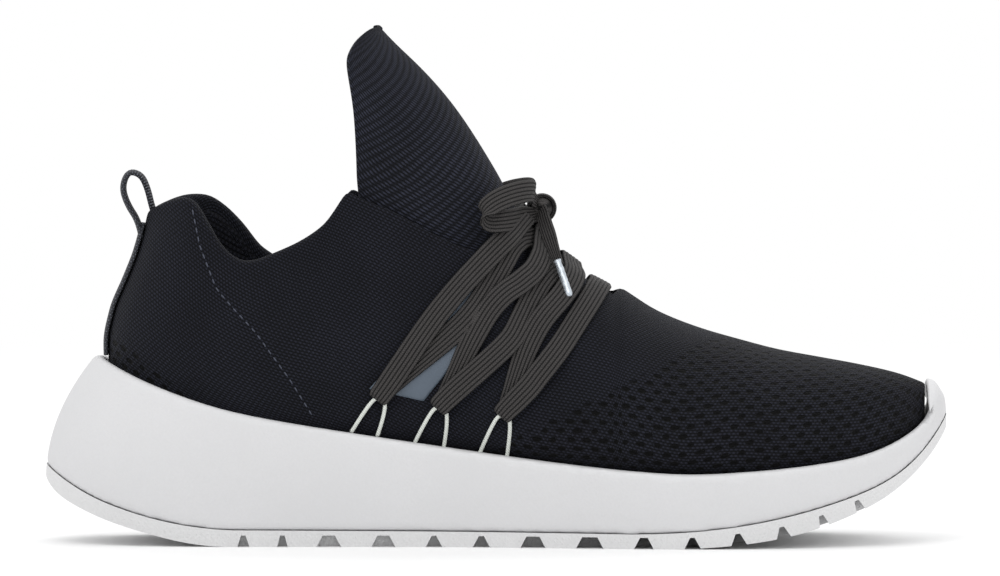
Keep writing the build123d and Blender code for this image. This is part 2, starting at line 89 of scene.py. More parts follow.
ANKLE_SHAPE = [
    (25, 0.97), (45, 1.0), (62, 0.97), (80, 0.89), (98, 0.85), (112, 0.87), (125, 0.9), (178, 0.9),
]  # fmt: skip
ANKLE_FRONT, MIDFOOT = 110, 200
CROWN = [(98, 75), (152, 72), (170, 60), (200, 47), (230, 36), (260, 28), (285, 18), (293.5, 11)]
HEEL_ROUND, BED_ROUND = 30, 12
CROWN_POWER, HEEL_POWER, BED_POWER = 1.9, 2.0, 2.6
TOE_BOX_START, TOE_BOX_LENGTH = 190, 250
RIM = [
    (17.5, 62), (21, 60.2), (31, 55.4), (44, 50.3), (58, 45.8), (78, 41.5), (98, 38.2),
    (131, 33.2), (171, 27.8), (198, 25.2), (213, 24.5), (231, 25.2), (258, 27.8),
    (271, 30.2), (284, 35.2), (291, 39.8),
]  # fmt: skip
COLLAR_LATERAL = [
    (34, 111.2), (38, 113.3), (46, 115.4), (49, 113.6), (54, 106.5), (60, 98), (67.3, 94.3),
    (78.8, 97.8), (92.2, 105.4), (100.8, 117.3),
]  # fmt: skip
COLLAR_MEDIAL = [
    (34, 111.2), (38, 113.3), (46, 115.4), (51, 115.2), (57.7, 111.8), (64.3, 105.8), (72, 97),
    (83, 92), (92, 97), (100.8, 117.3),
]  # fmt: skip
THROAT = [
    (100.8, 117.3), (105.9, 114.5), (116.7, 110.1), (126.9, 104.3), (141.3, 97.8),
    (184.3, 83.2), (188, 83), (190.9, 84.3),
]  # fmt: skip
THROAT_BACK, THROAT_FRONT = 100.8, 190.9
WALL_ROOT = [(93, 107), (104, 93), (121, 82), (150, 70), (185, 60), (203, 57)]
# The tongue's rows from its top to its root: (height, place) at the back edge, then the place on
# the ridge. The first rows lie close together to round the corners of the top edge.
TONGUE_BACK = [
    (172.4, 110.4), (171.6, 107.4), (169, 103.9), (165, 100.8), (160, 98.9), (145.3, 100.7),
    (126.7, 102.6), (120.9, 102.5), (112, 103), (105, 104.5), (97, 108), (85, 122), (73, 150),
    (63, 185), (60, 207),
]  # fmt: skip
TONGUE_RIDGE_PLACES = [
    112.2, 112.9, 115, 118.8, 123.8, 139, 151.5, 155.3, 160.5, 165, 171, 180, 190, 200, 210,
]  # fmt: skip
CORD_LOOPS = {
    "front": [(144.9, 32.2), (149.4, 42), (152.8, 44.6), (155.6, 42), (153.9, 31)],
    "middle": [(123.3, 35.4), (128, 44.2), (131.6, 47), (134.8, 44), (132.9, 33.8)],
    "rear": [(102.3, 38.6), (108, 47.2), (111.6, 49.8), (114.4, 46.8), (110.9, 37.4)],
}

PANEL = [(108, 52), (140, 88), (158, 88), (126, 48)]
QUARTER_SEAM = [(49.5, 111), (52, 99), (57.6, 84.7), (64, 77.5), (70.4, 70.7), (81.9, 55), (90, 42)]
PULL_TAB = [
    (31.4, 101), (30.6, 106), (26.6, 112), (24.8, 118), (27.2, 123.6), (32.0, 122.4),
    (34.2, 117.5), (35.6, 111.5), (37, 107),
]  # fmt: skip

# Layers and trims, in millimetres.
KNIT_SHEET = 0.9
TONGUE_DEPTH, TONGUE_TOP_DEPTH, TONGUE_THICK = 3.2, 1.4, 2.6
TOP_SET_IN = 1.8
LINING_DEPTH, LINING_THICK = 4.9, 0.8
CORD_RADIUS, CORD_RISE = 0.65, 1.75
LACE_WIDTH, LACE_PINCHED, LACE_THICK = 8.0, 6.0, 1.1
RIB_PITCH = 1.34
LACE_ON_QUARTER, LACE_ON_TONGUE = 0.9, -1.5
STACKED, CROSSED = 1.25, 1.75
WEB_WIDTH, WEB_THICK, TAB_WIDTH, TAB_THICK = 14.0, 1.2, 13.0, 1.3
WEB_LOW, WEB_LENGTH, WEB_STEPS, WEB_RISE = 62.0, 44.0, 30, 0.9
TAPE_BOW, SELVEDGE_RISE, SELVEDGE_PLACE, SELVEDGE_WIDTH = 0.9, 0.12, 0.88, 0.06
FILM_RISE, FILM_THICK = 0.28, 0.24
STITCH_PITCH, STITCH_RADIUS, STITCH_RISE, STITCH_SINK = 2.9, 0.26, 0.16, 0.35
STITCH_STEPS, STITCH_SIDES = 6, 8
TOE_BUMPER_START, TOE_TIP_Y, TOE_BUMPER_HALF = 286, 6, 21


# ---------------------------------------------------------------- the upper's outer face
def along(table, place):
    """The value of a table at a place, on a smooth curve that never overshoots its points."""
    if place <= table[0][0]:
        return table[0][1]
    if place >= table[-1][0]:
        return table[-1][1]
    index = max(k for k in range(len(table) - 1) if table[k][0] <= place)

    def rise(k):
        return (table[k + 1][1] - table[k][1]) / (table[k + 1][0] - table[k][0])

    def slope(k):
        if k == 0:
            return rise(0)
        if k == len(table) - 1:
            return rise(k - 1)
        before, after = rise(k - 1), rise(k)
        return 0.0 if before * after <= 0 else 2 * before * after / (before + after)

    start, value = table[index]
    span = table[index + 1][0] - start
    t = (place - start) / span
    return (
        value * (1 + 2 * t) * (1 - t) ** 2
        + table[index + 1][1] * t * t * (3 - 2 * t)
        + slope(index) * span * t * (1 - t) ** 2
        - slope(index + 1) * span * t * t * (1 - t)
    )


def smooth(low, high, value):
    """0 below low, 1 above high, and a smooth step between."""
    t = min(max((value - low) / (high - low), 0.0), 1.0)
    return t * t * (3 - 2 * t)


def mix(a, b, share):
    return a + (b - a) * share


def rounded(share, power):
    """0 to 1 along a quarter of a rounded corner."""
    share = min(max(share, 0.0), 1.0)
    return (1 - (1 - share) ** power) ** (1 / power)


def half_width(place, height, side):
    """Half width of the upper at a point seen from the side, in millimetres."""
    plan = along(UPPER_LATERAL if side < 0 else UPPER_MEDIAL, place)
    ankle = smooth(0, 1, (MIDFOOT - place) / (MIDFOOT - ANKLE_FRONT))
    waist = 1 + ankle * (along(ANKLE_SHAPE, height) - 1)
    power = CROWN_POWER + max(0, place - TOE_BOX_START) / TOE_BOX_LENGTH
    crown = rounded((along(RIDGE, place) - height) / along(CROWN, place), power)
    heel = rounded((place - along(HEEL_LINE, height)) / HEEL_ROUND, HEEL_POWER)
    bed = rounded((height - along(BED, place)) / BED_ROUND, BED_POWER)
    return plan * waist * crown * heel * bed


def at(place, y, height):
    """A point in metres from its side view in millimetres."""
    return Vector((BACK_OF_HEEL + place * MM, y * MM, height * MM))


def surface(place, height, side):
    return at(place, side * half_width(place, height, side), height)


def height_at(place, turn):
    """Height of the outer face where it has turned from the ridge by an angle."""
    drop = 1 - math.cos(turn) if turn < math.pi / 2 else 1 + turn - math.pi / 2
    return along(RIDGE, place) - along(CROWN, place) * drop


def draped(place, angle):
    """A point of the outer face; the angle goes over the ridge, lateral side first."""
    return surface(place, height_at(place, abs(angle)), LATERAL if angle < 0 else MEDIAL)


def angle_at(place, height, side):
    """The angle that draped() needs for a height."""
    drop = (along(RIDGE, place) - height) / along(CROWN, place)
    turn = math.acos(max(-1.0, 1 - drop)) if drop < 1 else drop - 1 + math.pi / 2
    return side * turn


def outward(place, angle):
    """The outer face's normal."""
    ahead = draped(place + 0.5, angle) - draped(place - 0.5, angle)
    over = draped(place, angle + 0.03) - draped(place, angle - 0.03)
    return ahead.cross(over).normalized()


def over_upper(place, height, side, rise):
    """A point at a rise in millimetres over the outer face, given by its side view."""
    angle = angle_at(place, height, side)
    return draped(place, angle) + outward(place, angle) * rise * MM


# ---------------------------------------------------------------- mesh helpers
def link(name, data):
    obj = bpy.data.objects.new(name, data)
    bpy.context.scene.collection.objects.link(obj)
    return obj


def shade_smooth(mesh):
    for polygon in mesh.polygons:
        polygon.use_smooth = True


def finish_mesh(build, name, material, merge=None, recalculate=False):
    """Turns a bmesh into an object; merge is the distance within which its points are joined."""
    if merge:
        bmesh.ops.remove_doubles(build, verts=build.verts, dist=merge)
    if recalculate:
        bmesh.ops.recalc_face_normals(build, faces=build.faces)
    mesh = bpy.data.meshes.new(name)
    build.to_mesh(mesh)
    build.free()
    mesh.materials.append(material)
    shade_smooth(mesh)
    return link(name, mesh)


def attach(piece, body, slot, *nodes):
    """A piece moves with a body and stands for CAD nodes; slot is not used."""
    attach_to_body(piece, body)
    if nodes:
        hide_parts(*nodes)


def grid_into(build, points, uvs, flip=False):
    """Adds a grid of quads, with its weave coordinates in millimetres, to a bmesh."""
    layer = build.loops.layers.uv.get("weave") or build.loops.layers.uv.new("weave")
    verts = [[build.verts.new(point) for point in column] for column in points]
    for c in range(len(points) - 1):
        for r in range(len(points[c]) - 1):
            corners = [(c, r), (c + 1, r), (c + 1, r + 1), (c, r + 1)]
            if flip:
                corners.reverse()
            face = build.faces.new([verts[i][j] for i, j in corners])
            for loop, (i, j) in zip(face.loops, corners):
                loop[layer].uv = uvs[i][j]


def settle(obj):
    """Applies the modifiers of an object to its mesh."""
    bpy.context.view_layer.update()
    graph = bpy.context.evaluated_depsgraph_get()
    mesh = bpy.data.meshes.new_from_object(obj.evaluated_get(graph))
    obj.modifiers.clear()
    obj.data = mesh
    shade_smooth(mesh)


def smooth_modifier(obj, rounds):
    soften = obj.modifiers.new("soften", "SMOOTH")
    soften.factor = 0.5
    soften.iterations = rounds


def thicken(obj, thickness, levels=1):
    """Makes a sheet solid, inwards from its face, and subdivides it smoothly."""
    solid = obj.modifiers.new("thickness", "SOLIDIFY")
    solid.thickness = thickness * MM
    solid.offset = -1
    solid.use_quality_normals = True
    if levels:
        fine = obj.modifiers.new("smooth", "SUBSURF")
        fine.levels = fine.render_levels = levels
    settle(obj)


def soft_copy(node, name, voxel, rounds, material, shrink=0.0):
    """A CAD node's form with its edges softened, as its own mesh."""
    obj = link(name, bpy.data.objects[node].data.copy())
    remesh = obj.modifiers.new("remesh", "REMESH")
    remesh.mode = "VOXEL"
    remesh.voxel_size = voxel * MM
    remesh.use_smooth_shade = True
    smooth_modifier(obj, rounds)
    settle(obj)
    if shrink:
        for vertex in obj.data.vertices:
            vertex.co -= vertex.normal * shrink * MM
    obj.data.materials.clear()
    obj.data.materials.append(material)
    return obj


def running_length(points):
    """The distance along a polyline at each of its points."""
    total = [0.0]
    for before, after in zip(points, points[1:]):
        total.append(total[-1] + (after - before).length)
    return total


def direction(line, k, ring=False):
    """A polyline's direction at one of its points."""
    if ring:
        return (line[(k + 1) % len(line)] - line[k - 1]).normalized()
    return (line[min(k + 1, len(line) - 1)] - line[max(k - 1, 0)]).normalized()


def spaced(points, count, end_gap=0.0):
    """Evenly spaced points of a polyline, stopping a gap short of its end, in metres."""
    total = running_length(points)
    reach = total[-1] - end_gap
    result = []
    k = 0
    for index in range(count):
        wanted = reach * index / (count - 1)
        while k < len(total) - 2 and total[k + 1] < wanted:
            k += 1
        span = total[k + 1] - total[k]
        share = (wanted - total[k]) / span if span > 1e-12 else 0.0
        result.append(points[k].lerp(points[k + 1], share))
    return result


# ---------------------------------------------------------------- material helpers
class Nodes:
    """A short way to write a material's nodes."""

    def __init__(self, name, colour, roughness):
        self.material = bpy.data.materials.new(name)
        self.material.use_nodes = True
        self.tree = self.material.node_tree
        self.shader = self.tree.nodes["Principled BSDF"]
        self.set({"Base Color": (*colour, 1), "Roughness": roughness})

    def set(self, values):
        for key, value in values.items():
            self.shader.inputs[key].default_value = value

    def add(self, kind, inputs=None, output=0, **settings):
        node = self.tree.nodes.new("ShaderNode" + kind)
        for key, value in settings.items():
            setattr(node, key, value)
        for key, value in (inputs or {}).items():
            if isinstance(value, bpy.types.NodeSocket):
                self.tree.links.new(value, node.inputs[key])
            else:
                node.inputs[key].default_value = value
        return node.outputs[output]

    def math(self, operation, a, b=0.0, c=0.0):
        return self.add("Math", {0: a, 1: b, 2: c}, operation=operation)

    def plus(self, a, b):
        return self.math("ADD", a, b)

    def minus(self, a, b):
        return self.math("SUBTRACT", a, b)

    def times(self, a, b):
        return self.math("MULTIPLY", a, b)

    def over(self, a, b):
        return self.math("DIVIDE", a, b)

    def scaled(self, value, factor, base=0.0):
        return self.math("MULTIPLY_ADD", value, factor, base)

    def step(self, low, high, value):
        ranges = {"Value": value, "From Min": low, "From Max": high}
        return self.add("MapRange", ranges, interpolation_type="SMOOTHSTEP")

    def blend(self, share, a, b):
        sockets = {"Factor": share, 6: a, 7: b}
        return self.add("Mix", sockets, output=2, data_type="RGBA")

    def parts(self, vector):
        node = self.tree.nodes.new("ShaderNodeSeparateXYZ")
        self.tree.links.new(vector, node.inputs[0])
        return node.outputs

    def weave(self):
        """The coordinates in millimetres across and along the fabric."""
        u, v, _ = self.parts(self.add("UVMap", uv_map="weave"))
        return u, v

    def place(self):
        return self.add("TexCoord", output=3)

    def noise(self, scale, detail=2.0):
        return self.add("TexNoise", {"Scale": scale, "Detail": detail, "Vector": self.place()})

    def wave(self, value, pitch):
        """0 to 1 and back over a pitch."""
        turns = self.scaled(value, 2 * math.pi / pitch)
        return self.scaled(self.math("SINE", turns), 0.5, 0.5)

    def arches(self, value, pitch):
        """0 to 1 and back over a pitch, with a sharp groove at each 0."""
        turns = self.math("MULTIPLY", value, math.pi / pitch)
        return self.math("ABSOLUTE", self.math("SINE", turns))

    def odd(self, rows):
        """1 in every second row."""
        return self.math("MODULO", self.math("FLOOR", rows), 2.0)

    def centred(self, value):
        """-0.5 to 0.5 over each whole step of a value."""
        return self.math("SUBTRACT", self.math("FRACT", value), 0.5)

    def finish(self, colour, roughness, height, depth, strength=1.0):
        bump = self.add("Bump", {"Height": height, "Distance": depth, "Strength": strength})
        for key, value in {"Base Color": colour, "Roughness": roughness, "Normal": bump}.items():
            self.tree.links.new(value, self.shader.inputs[key])
        return self.material


KNIT_ROUGHNESS = 0.85
SLIT_PITCH, SLIT_RISE = 5.6, 3.0
SLIT_LENGTH, SLIT_HEIGHT = 1.55, 0.9


def knit_material(name, dark, light, row, stitch, slope, perforated=False):
    """Knitted fabric: rows of stitches that lean by a slope, painted lighter on the stitch tops as highlight
    and darker in the grooves as shade, with slits painted near-black as shade where it is perforated.
    """
    nodes = Nodes(name, dark, KNIT_ROUGHNESS)
    u, v = nodes.weave()
    rows = nodes.over(nodes.scaled(u, slope, v), row)
    shift = nodes.times(nodes.odd(rows), math.pi)
    turns = nodes.scaled(u, 2 * math.pi / stitch, shift)
    stitches = nodes.scaled(nodes.math("SINE", turns), 0.5, 0.5)
    form = nodes.times(nodes.arches(rows, 1), nodes.scaled(stitches, 0.65, 0.35))
    fuzz = nodes.noise(2600)
    patch = nodes.noise(38, 3.0)
    share = nodes.times(form, nodes.scaled(fuzz, 1.5, 0.2))
    share = nodes.times(share, nodes.scaled(patch, 0.8, 0.5))
    # Lighter where the stitches stand high: painted highlight on the stitch tops and painted shade in the
    # grooves, with random tone from the noise.
    colour = nodes.blend(nodes.step(0.05, 1.0, share), (*dark, 1), (*light, 1))
    height = nodes.scaled(fuzz, 0.25, form)
    if perforated:
        mask = perforations(nodes, u, v)
        # The slits are painted near-black: painted shade inside the holes, also standing for the dark lining
        # seen through them.
        colour = nodes.blend(mask, colour, (0.0004, 0.0004, 0.0006, 1))
        height = nodes.minus(height, nodes.times(mask, 2.5))
    roughness = nodes.scaled(form, 0.12, KNIT_ROUGHNESS - 0.1)
    nodes.set({"Sheen Weight": 0.015, "Sheen Roughness": 0.5, "Specular IOR Level": 0.12})
    return nodes.finish(colour, roughness, height, depth=0.00035, strength=0.9)


def perforations(nodes, u, v):
    """Rows of short slits over the toes and in a wedge at the heel: the mask for their dip and for the
    painted shade inside them.
    """
    rows = nodes.over(v, SLIT_RISE)
    wander = nodes.scaled(nodes.noise(420, 1.0), 0.5, -0.25)
    columns = nodes.scaled(nodes.odd(rows), 0.5, nodes.over(u, SLIT_PITCH))
    columns = nodes.plus(columns, wander)
    squares = []
    for value, slits in ((columns, SLIT_PITCH / SLIT_LENGTH), (rows, SLIT_RISE / SLIT_HEIGHT)):
        off = nodes.times(nodes.centred(value), slits)
        squares.append(nodes.math("POWER", nodes.math("ABSOLUTE", off), 2.0))
    hole = nodes.step(1.15, 0.55, nodes.plus(*squares))
    x, _, z = nodes.parts(nodes.place())

    def ahead_of(place, height, lean):
        """Distance ahead of a line through a point seen from the side; it leans forward as it rises."""
        start = BACK_OF_HEEL + (place - height * lean) * MM
        return nodes.scaled(z, -lean, nodes.minus(x, start))

    toes = nodes.step(-0.001, 0.004, ahead_of(156, 37, 58 / 28))
    heel = nodes.step(0.002, -0.001, ahead_of(19, 72, -1.25))
    zone = nodes.math("MINIMUM", nodes.plus(toes, heel), 1.0)
    return nodes.times(hole, zone)


def lace_material():
    """Ribbed flat braid, painted lighter on its raised ribs as highlight and darker in its grooves as shade;
    v runs along the lace and u across it.
    """
    nodes = Nodes("lace_braid", (0.03, 0.029, 0.03), 0.8)
    u, v = nodes.weave()
    chevron = nodes.math("PINGPONG", u, RIB_PITCH / 2)
    braid = nodes.wave(nodes.plus(v, nodes.times(chevron, 0.9)), 0.75)
    rib = nodes.step(0.0, 0.85, nodes.arches(u, RIB_PITCH))
    form = nodes.times(rib, nodes.scaled(braid, 0.5, 0.5))
    fuzz = nodes.noise(3000)
    # Painted highlight on the raised ribs and braid, painted shade in the grooves, with random tone from the
    # noise.
    share = nodes.step(0.0, 1.0, nodes.times(form, nodes.scaled(fuzz, 0.8, 0.6)))
    colour = nodes.blend(share, (0.003, 0.003, 0.0032, 1), (0.06, 0.056, 0.055, 1))
    nodes.set({"Sheen Weight": 0.015, "Specular IOR Level": 0.18})
    height = nodes.scaled(fuzz, 0.15, form)
    return nodes.finish(colour, nodes.scaled(braid, 0.15, 0.68), height, depth=0.0003)


def cord_material():
    """Smooth round cord with a fine twist, painted paler on its ridges as highlight and darker in its
    grooves as shade.
    """
    nodes = Nodes("cord_white", (0.7, 0.72, 0.68), 0.6)
    x, _, z = nodes.parts(nodes.place())
    twist = nodes.wave(nodes.plus(x, z), 0.0009)
    fuzz = nodes.noise(1800)
    # The twist's colour is painted highlight on its ridges and painted shade in its grooves.
    share = nodes.times(twist, 0.6)
    colour = nodes.blend(share, (0.62, 0.65, 0.6, 1), (0.8, 0.82, 0.78, 1))
    height = nodes.plus(twist, fuzz)
    return nodes.finish(colour, nodes.scaled(fuzz, 0.2, 0.5), height, depth=0.00015)


def foam_material(name, colour, hollow_shade, scale, rough, depth, diamonds=False):
    """Moulded foam or rubber: fine texture and soft unevenness, with painted shade in its low places."""
    nodes = Nodes(name, colour, rough)
    fine = nodes.noise(scale)
    broad = nodes.noise(22, 4.0)
    height = nodes.scaled(broad, 1.6, fine)
    if diamonds:
        x, y, z = nodes.parts(nodes.place())
        slants = nodes.plus(x, z), nodes.minus(x, z), nodes.plus(x, y)
        one, two, three = (nodes.wave(slant, 0.0019) for slant in slants)
        highest = nodes.math("MAXIMUM", nodes.math("MAXIMUM", one, two), three)
        height = nodes.scaled(highest, 0.9, height)
    # Darker where the noise heights are low: painted shade in the hollows.
    shade_by_height = nodes.scaled(broad, 0.5, nodes.times(fine, 0.4))
    shade = tuple(channel * (1 - hollow_shade) for channel in colour)
    colours = nodes.blend(nodes.step(0.3, 0.7, shade_by_height), (*shade, 1), (*colour, 1))
    nodes.set({"Specular IOR Level": 0.35})
    return nodes.finish(colours, nodes.scaled(fine, 0.18, rough - 0.09), height, depth, strength=0.6)


def webbing_material():
    """Narrow woven tape with small pale flecks."""
    row, fleck_pitch = 0.95, 1.5
    nodes = Nodes("webbing_tape", (0.012, 0.013, 0.02), 0.8)
    u, v = nodes.weave()
    rows = nodes.over(v, row)
    x = nodes.centred(nodes.scaled(nodes.odd(rows), 0.5, nodes.over(u, fleck_pitch)))
    y = nodes.centred(rows)
    round_spot = nodes.plus(nodes.times(x, x), nodes.times(y, y))
    fleck = nodes.step(0.09, 0.03, round_spot)
    fuzz = nodes.noise(2600)
    share = nodes.times(fleck, fuzz)
    colour = nodes.blend(share, (0.008, 0.009, 0.014, 1), (0.2, 0.22, 0.27, 1))
    height = nodes.scaled(fuzz, 0.3, nodes.minus(fleck, nodes.wave(v, row)))
    return nodes.finish(colour, nodes.scaled(fuzz, 0.2, 0.7), height, depth=0.0003)


def film_material():
    """Matt film with a slight cloudiness."""
    nodes = Nodes("film_blue_grey", (0.075, 0.1, 0.13), 0.45)
    fine = nodes.noise(900)
    colour = nodes.blend(nodes.noise(60), (0.055, 0.075, 0.1, 1), (0.085, 0.11, 0.145, 1))
    return nodes.finish(colour, nodes.scaled(fine, 0.2, 0.38), fine, depth=0.0001)


def aglet_material():
    """Worn silvery sleeve with faint bands."""
    nodes = Nodes("aglet_silver", (0.5, 0.54, 0.58), 0.3)
    fine = nodes.noise(700, 3.0)
    height = nodes.plus(fine, nodes.wave(nodes.place(), 0.004))
    colour = nodes.blend(fine, (0.3, 0.34, 0.38, 1), (0.75, 0.8, 0.85, 1))
    nodes.set({"Metallic": 0.7})
    return nodes.finish(colour, nodes.scaled(fine, 0.25, 0.2), height, depth=0.0002)


def thread_material():
    """Sewing thread, a little paler than the knit."""
    nodes = Nodes("thread", (0.03, 0.034, 0.05), 0.7)
    fuzz = nodes.noise(3000)
    colour = nodes.blend(fuzz, (0.02, 0.023, 0.035, 1), (0.06, 0.068, 0.1, 1))
    return nodes.finish(colour, nodes.scaled(fuzz, 0.2, 0.55), fuzz, depth=0.0001)


# The second colour of each knit below is the painted highlight of its raised stitches.
NEAR_BLACK = (0.0016, 0.0017, 0.0026)
UPPER_KNIT = knit_material("upper_knit_fabric", NEAR_BLACK, (0.019, 0.0205, 0.031), 1.05, 1.5, 0.18, True)
TONGUE_KNIT = knit_material("tongue_knit_fabric", NEAR_BLACK, (0.03, 0.033, 0.05), 1.45, 1.5, 0.9)
LINING_MESH = knit_material("lining_fabric", (0.002, 0.002, 0.003), (0.014, 0.015, 0.022), 1.6, 2, 0)
SOCK_COVER = knit_material("sockliner_fabric", (0.006, 0.006, 0.008), (0.035, 0.037, 0.045), 1.2, 1.2, 0)
LACE = lace_material()
CORD = cord_material()
# The number after each colour is how much the painted shade in its low places darkens it.
MIDSOLE = foam_material("midsole_foam", (0.62, 0.62, 0.63), 0.05, 1300, 0.6, 0.00012)
OUTSOLE = foam_material("outsole_rubber", (0.66, 0.66, 0.665), 0.06, 1600, 0.5, 0.00018, diamonds=True)
PADDING = foam_material("padding_foam", (0.08, 0.08, 0.085), 0.2, 1500, 0.9, 0.0003)
BOARD = foam_material("board_fibre", (0.3, 0.27, 0.22), 0.25, 900, 0.9, 0.0002)
WEBBING = webbing_material()
FILM = film_material()
AGLET = aglet_material()
THREAD = thread_material()

# ---------------------------------------------------------------- camera, floor and light
CAMERA_AIM = Vector((0.001, 0, 0.0842))
CAMERA_DISTANCE, CAMERA_RISE = 3.0, math.radians(2.0)
CAMERA_LENS = 324
FLOOR_RADIUS = 60.0
WORLD_STRENGTH = 1.0


def aim(obj, target):
    obj.rotation_euler = (target - obj.location).to_track_quat("-Z", "Y").to_euler()


def make_camera():
    data = bpy.data.cameras.new("camera")
    data.lens = CAMERA_LENS
    data.sensor_width = 36
    camera = link("camera", data)
    back = Vector((0, -math.cos(CAMERA_RISE), math.sin(CAMERA_RISE)))
    camera.location = CAMERA_AIM + CAMERA_DISTANCE * back
    aim(camera, CAMERA_AIM)
    bpy.context.scene.camera = camera


def make_light(name, place, target, size, power):
    data = bpy.data.lights.new(name, "AREA")
    data.shape = "RECTANGLE"
    data.size = data.size_y = size
    data.energy = power
    light = link(name, data)
    light.location = place
    aim(light, Vector(target))


def make_stage():
    """A round white floor that turns into the white of the world around it far from the shoe."""
    build = bmesh.new()
    bmesh.ops.create_circle(build, cap_ends=True, segments=96, radius=FLOOR_RADIUS)
    nodes = Nodes("floor_white", (0.9, 0.9, 0.9), 0.9)
    distance = nodes.add("VectorMath", {0: nodes.place()}, output=1, operation="LENGTH")
    far = nodes.step(0.35, 1.6, distance)
    glow = nodes.add("Emission", {"Color": (1, 1, 1, 1), "Strength": WORLD_STRENGTH})
    shared = nodes.add("MixShader", {0: far, 1: nodes.shader.outputs[0], 2: glow})
    nodes.tree.links.new(shared, nodes.tree.nodes["Material Output"].inputs[0])
    finish_mesh(build, "floor", nodes.material)


make_camera()
make_stage()
make_light("key", (-0.6, -1.2, 2.0), (0, 0, 0.05), 1.6, 14)
make_light("fill", (1.5, -1.6, 1.0), (0, 0, 0.06), 1.6, 5)
make_light("back", (0.2, 1.6, 1.6), (0, 0, 0.08), 1.8, 10)
world = bpy.data.worlds.new("world")
bpy.context.scene.world = world
world.use_nodes = True
background = world.node_tree.nodes["Background"]
background.inputs["Color"].default_value = (1, 1, 1, 1)
background.inputs["Strength"].default_value = WORLD_STRENGTH
bpy.context.scene.view_settings.view_transform = "Standard"

# ---------------------------------------------------------------- upper, lining
HEEL_COLUMNS, SIDE_STEP = 12, 2.3
HEEL_BACK = 20.5
SIDE_START, SIDE_END = HEEL_BACK + HEEL_ROUND, 293.0
BELOW_RIM, BELOW_EDGE = 3.0, 5.5


def column_ids():
    """Columns round the heel (as angles) and then along the side (as places)."""
    ids = [("heel", math.pi / 2 * k / HEEL_COLUMNS) for k in range(HEEL_COLUMNS)]
    count = round((SIDE_END - SIDE_START) / SIDE_STEP)
    return ids + [("side", mix(SIDE_START, SIDE_END, k / count)) for k in range(count + 1)]


def column_place(column, height):
    kind, value = column
    if kind == "heel":
        return along(HEEL_LINE, height) + HEEL_ROUND * (1 - math.cos(value))
    lean = 1 - smooth(SIDE_START, ANKLE_FRONT, value)
    return value + (along(HEEL_LINE, height) - HEEL_BACK) * lean


def edge_height(place, side):
    """Height of the knit's top edge, or of the ridge where the upper is closed."""
    if place < THROAT_BACK:
        return along(COLLAR_LATERAL if side < 0 else COLLAR_MEDIAL, place)
    if place < THROAT_FRONT:
        return along(THROAT, place)
    return along(RIDGE, place)


def lining_height(place, side):
    """Height of the lining's top edge, which starts below the collar and runs under the tongue."""
    root = WALL_ROOT[-1][0]
    below = edge_height(place, side) - BELOW_EDGE
    if place < WALL_ROOT[0][0]:
        return below
    if place < root:
        return min(along(WALL_ROOT, place), below)
    return mix(WALL_ROOT[-1][1], along(RIDGE, place), smooth(root, root + 8, place))


def bottom_height(place, _side):
    return max(along(RIM, place) - BELOW_RIM, along(BED, place) + 1.0)


def column_points(column, side, low, high, samples=60):
    """A dense line up one column of the outer face, between two heights."""
    ends = []
    for limit in (low, high):
        height = 60.0
        for _ in range(30):
            place = column_place(column, height)
            height = mix(height, limit(place, side), 0.7)
        ends.append((place, height))
    (low_place, z_low), (high_place, z_high) = ends
    a_low, a_high = angle_at(low_place, z_low, 1), angle_at(high_place, z_high, 1)
    by_angle = smooth(90, 140, high_place)
    points = []
    for index in range(samples + 1):
        t = index / samples
        height = mix(z_low, z_high, t)
        if by_angle:
            turned = height_at(column_place(column, height), mix(a_low, a_high, t))
            height = mix(height, turned, by_angle)
        points.append(surface(column_place(column, height), height, side))
    return points, high_place


def normals_of(columns, side, seam=True):
    """Outward directions of a grid of points; seam says that its first column is the heel's middle."""
    result = []
    for c, column in enumerate(columns):
        ahead, behind = columns[min(c + 1, len(columns) - 1)], columns[max(c - 1, 0)]
        row = []
        for r in range(len(column)):
            run = Vector((0, side, 0)) if seam and c == 0 else ahead[r] - behind[r]
            up = column[min(r + 1, len(column) - 1)] - column[max(r - 1, 0)]
            row.append((run.cross(up) * -side).normalized())
        result.append(row)
    return result


def weave_of(columns, row, down=1):
    """Weave coordinates in millimetres: the distance along one row, and up or down each column."""
    u = [length / MM for length in running_length([column[row] for column in columns])]
    return [
        [(u[c], down * length / MM) for length in running_length(column)]
        for c, column in enumerate(columns)
    ]


OUTER_ROWS, FOLD_ROWS, HEM_ROWS, LINING_ROWS = 27, 8, 3, 18
ROLL_RADIUS, HEM_RADIUS, END_RADIUS = 2.7, 1.0, 0.25
HEM, HEM_BOW = 5.0, 0.07
SEAM_MERGE, LACE_MERGE = 3e-5, 5e-6


def fold_radius(place):
    """Radius of the turned edge: a thick roll round the collar, a flat hem at the throat."""
    if place >= THROAT_FRONT:
        return 0.0
    collar = 1 - smooth(88, 104, place)
    end = smooth(THROAT_FRONT - 5, THROAT_FRONT, place)
    return mix(mix(HEM_RADIUS, ROLL_RADIUS, collar), END_RADIUS, end)


def upper_side(side):
    """The outer face of one side with its edge turned in, as columns of points."""
    dense = [column_points(column, side, bottom_height, edge_height) for column in column_ids()]
    outer = [spaced(points, OUTER_ROWS, fold_radius(place) * MM) for points, place in dense]
    columns = []
    for (points, place), face, normal in zip(dense, outer, normals_of(outer, side)):
        column = list(face)
        radius = fold_radius(place) * MM
        up = (points[-1] - points[-3]).normalized()
        out = (normal[-1] - up * normal[-1].dot(up)).normalized()
        centre = face[-1] - out * radius
        for k in range(1, FOLD_ROWS + 1):
            turn = math.pi * k / FOLD_ROWS
            column.append(centre + radius * (up * math.sin(turn) + out * math.cos(turn)))
        hem = HEM * MM * min(1.0, radius / (HEM_RADIUS * MM))
        inner = column[-1]
        for k in range(1, HEM_ROWS + 1):
            share = k / HEM_ROWS
            column.append(inner - up * hem * share - out * (hem * share) ** 2 / HEM_BOW)
        columns.append(column)
    return columns


